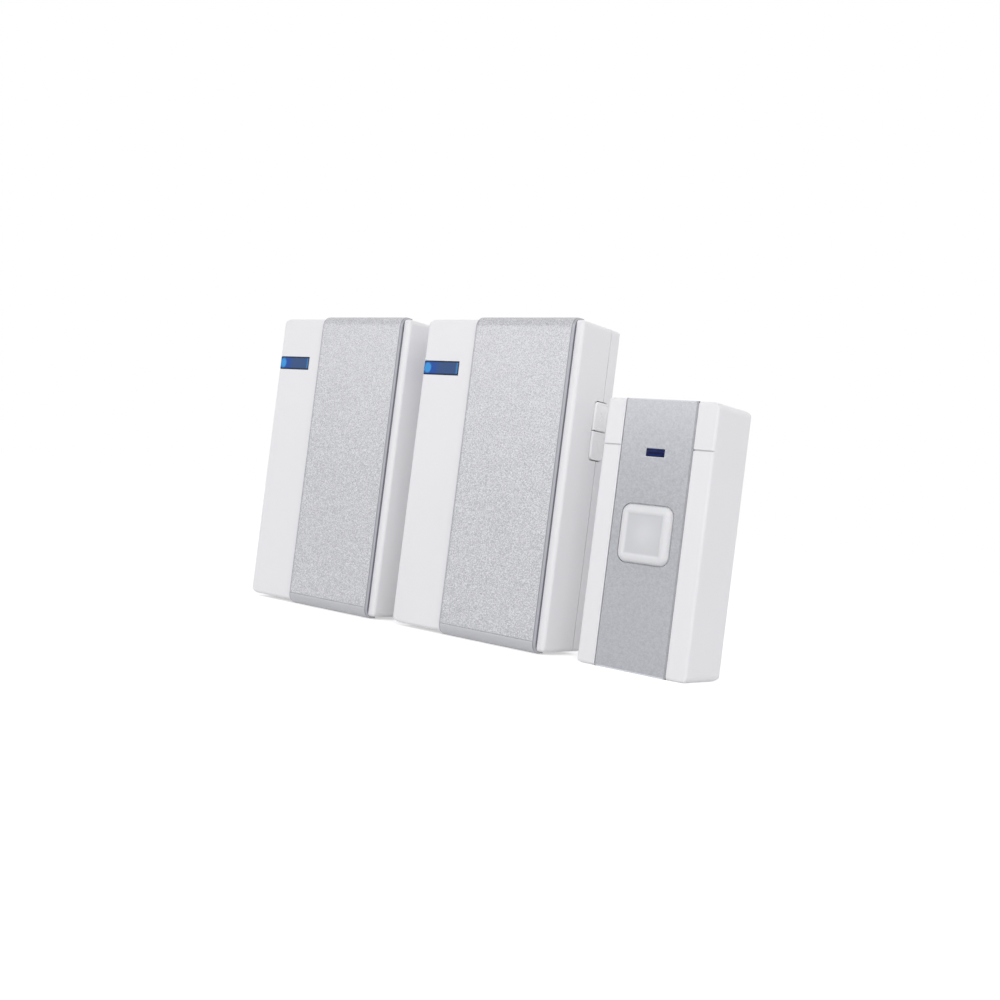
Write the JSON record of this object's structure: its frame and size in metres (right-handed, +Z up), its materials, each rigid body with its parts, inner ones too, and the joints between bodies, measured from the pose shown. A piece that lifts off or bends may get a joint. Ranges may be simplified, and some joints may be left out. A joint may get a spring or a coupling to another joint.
{
  "type": "wireless doorbell set",
  "caption": "White box-shaped battery chimes with wrapped silver front panels, blue indicator bars and side buttons, with a slim push-button transmitter with a square key.",
  "frame": {"origin": "under the middle of the row, on the surface that the units stand on", "axes": "+X along the row to the push-button unit, +Y from the fronts to the backs, +Z up"},
  "size_m": [0.1886, 0.0256, 0.107],
  "materials": {
    "white_casing": "smooth white moulded plastic, satin gloss",
    "silver_panel": "silver painted plastic with a fine raised grain",
    "satin_panel": "silver painted plastic, smooth satin",
    "blue_lens": "clear blue plastic",
    "dark_blue_lens": "dark blue clear plastic",
    "white_button": "smooth white plastic",
    "pale_key": "milky white plastic",
    "cell_wrap": "plain printed sleeve",
    "contact_steel": "nickel plated spring steel",
    "screw_steel": "plated steel",
    "board_green": "solder mask",
    "black_parts": "moulded black plastic",
    "speaker_paper": "pressed paper",
    "led_blue": "clear blue epoxy",
    "copper_wire": "enamelled copper",
    "lead_insulation": "thin soft insulation"
  },
  "bodies": {
    "left_chime": {"left_chime_front_shell": "white_casing", "left_chime_front_panel": "silver_panel", "left_chime_indicator_lens": "blue_lens", "left_chime_rear_cover": "white_casing", "left_chime_battery_cells": "cell_wrap", "left_chime_battery_springs": "contact_steel", "left_chime_contact_plates": "contact_steel", "left_chime_circuit_board": "board_green", "left_chime_board_parts": "black_parts", "left_chime_board_screws": "screw_steel", "left_chime_case_screws": "screw_steel", "left_chime_speaker_frame": "black_parts", "left_chime_speaker_magnet": "screw_steel", "left_chime_speaker_cone": "speaker_paper", "left_chime_indicator_led": "led_blue", "left_chime_switch_bodies": "black_parts", "left_chime_antenna_coil": "copper_wire", "left_chime_wiring": "lead_insulation"},
    "left_melody_button": {"left_chime_melody_button": "white_button", "left_chime_melody_stem": "white_button"},
    "left_volume_button": {"left_chime_volume_button": "white_button", "left_chime_volume_stem": "white_button"},
    "left_battery_door": {"left_chime_battery_door": "white_casing"},
    "right_chime": {"right_chime_front_shell": "white_casing", "right_chime_front_panel": "silver_panel", "right_chime_indicator_lens": "blue_lens", "right_chime_rear_cover": "white_casing", "right_chime_battery_cells": "cell_wrap", "right_chime_battery_springs": "contact_steel", "right_chime_contact_plates": "contact_steel", "right_chime_circuit_board": "board_green", "right_chime_board_parts": "black_parts", "right_chime_board_screws": "screw_steel", "right_chime_case_screws": "screw_steel", "right_chime_speaker_frame": "black_parts", "right_chime_speaker_magnet": "screw_steel", "right_chime_speaker_cone": "speaker_paper", "right_chime_indicator_led": "led_blue", "right_chime_switch_bodies": "black_parts", "right_chime_antenna_coil": "copper_wire", "right_chime_wiring": "lead_insulation"},
    "right_melody_button": {"right_chime_melody_button": "white_button", "right_chime_melody_stem": "white_button"},
    "right_volume_button": {"right_chime_volume_button": "white_button", "right_chime_volume_stem": "white_button"},
    "right_battery_door": {"right_chime_battery_door": "white_casing"},
    "push_unit": {"push_cover": "white_casing", "push_panel": "satin_panel", "push_lens": "dark_blue_lens", "push_circuit_board": "board_green", "push_switch_body": "black_parts", "push_led": "led_blue", "push_battery": "cell_wrap", "push_battery_spring": "contact_steel", "push_battery_contacts": "contact_steel", "push_board_parts": "black_parts", "push_board_screws": "screw_steel"},
    "push_key": {"push_key": "pale_key", "push_switch_stem": "black_parts"},
    "push_back_plate": {"push_back_plate": "white_casing"}
  },
  "joints": [
    {"name": "left_melody_press", "type": "slide", "parent": "left_chime", "child": "left_melody_button", "axis": [-1, 0, 0], "range_m": [0, 0.0005], "stiffness_N_per_m": 800, "springref_m": -0.0005},
    {"name": "left_volume_press", "type": "slide", "parent": "left_chime", "child": "left_volume_button", "axis": [-1, 0, 0], "range_m": [0, 0.0005], "stiffness_N_per_m": 800, "springref_m": -0.0005},
    {"name": "left_battery_door_hinge", "type": "hinge", "parent": "left_chime", "child": "left_battery_door", "pos_m": [-0.0615, 0.00905, 0.00595], "axis": [-1, 0, 0], "range_deg": [0, 85]},
    {"name": "right_melody_press", "type": "slide", "parent": "right_chime", "child": "right_melody_button", "axis": [-1, 0, 0], "range_m": [0, 0.0005], "stiffness_N_per_m": 800, "springref_m": -0.0005},
    {"name": "right_volume_press", "type": "slide", "parent": "right_chime", "child": "right_volume_button", "axis": [-1, 0, 0], "range_m": [0, 0.0005], "stiffness_N_per_m": 800, "springref_m": -0.0005},
    {"name": "right_battery_door_hinge", "type": "hinge", "parent": "right_chime", "child": "right_battery_door", "pos_m": [0.0125, 0.00905, 0.00595], "axis": [-1, 0, 0], "range_deg": [0, 85]},
    {"name": "right_chime_lift", "type": "slide", "parent": "left_chime", "child": "right_chime", "axis": [0, 0, 1], "range_m": [0, 0.12]},
    {"name": "push_unit_lift", "type": "slide", "parent": "left_chime", "child": "push_unit", "axis": [0, 0, 1], "range_m": [0, 0.12]},
    {"name": "push_key_press", "type": "slide", "parent": "push_unit", "child": "push_key", "axis": [0, 1, 0], "range_m": [0, 0.0006], "stiffness_N_per_m": 1000, "springref_m": -0.0005},
    {"name": "push_back_plate_release", "type": "slide", "parent": "push_unit", "child": "push_back_plate", "axis": [0, 1, 0], "range_m": [0, 0.03]}
  ]
}
